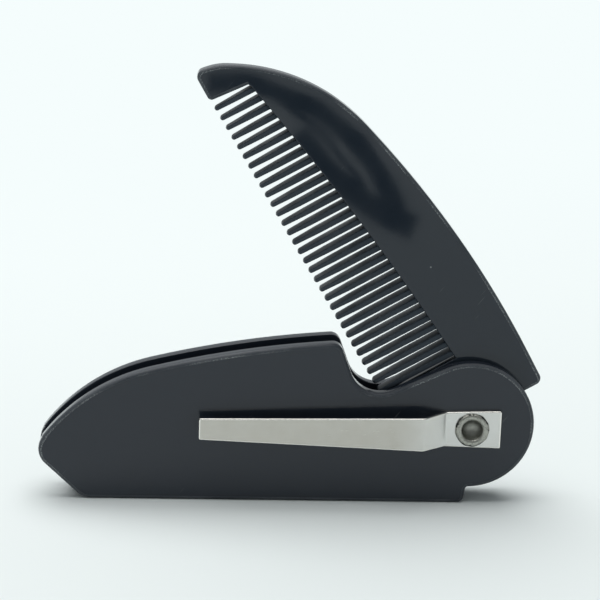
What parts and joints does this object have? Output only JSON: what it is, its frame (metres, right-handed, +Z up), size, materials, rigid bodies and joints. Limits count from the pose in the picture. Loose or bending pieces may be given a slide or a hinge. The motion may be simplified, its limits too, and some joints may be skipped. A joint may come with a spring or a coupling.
{
  "type": "folding beard comb",
  "caption": "Pocket beard comb whose toothed blade folds on a rivet into a slotted handle with a spring pocket clip.",
  "frame": {"origin": "middle of the flat outer face of the handle's spine, on which it stands", "axes": "+X along the handle towards the pivot, +Y through its thickness away from the clip side, +Z up out of the slot"},
  "size_m": [0.1017, 0.016, 0.088],
  "materials": {
    "handle_plastic": "polished black moulding",
    "comb_plastic": "polished black moulding",
    "clip_steel": "satin plated spring steel",
    "rivet_steel": "plated steel"
  },
  "bodies": {
    "handle": {"handle": "handle_plastic", "pocket_clip": "clip_steel", "pivot_rivet": "rivet_steel"},
    "comb": {"comb": "comb_plastic"}
  },
  "joints": [
    {"name": "comb_hinge", "type": "hinge", "parent": "handle", "child": "comb", "pos_m": [0.03913, 0, 0.01601], "axis": [0, 1, 0], "range_deg": [-58.9, 120.2]}
  ]
}
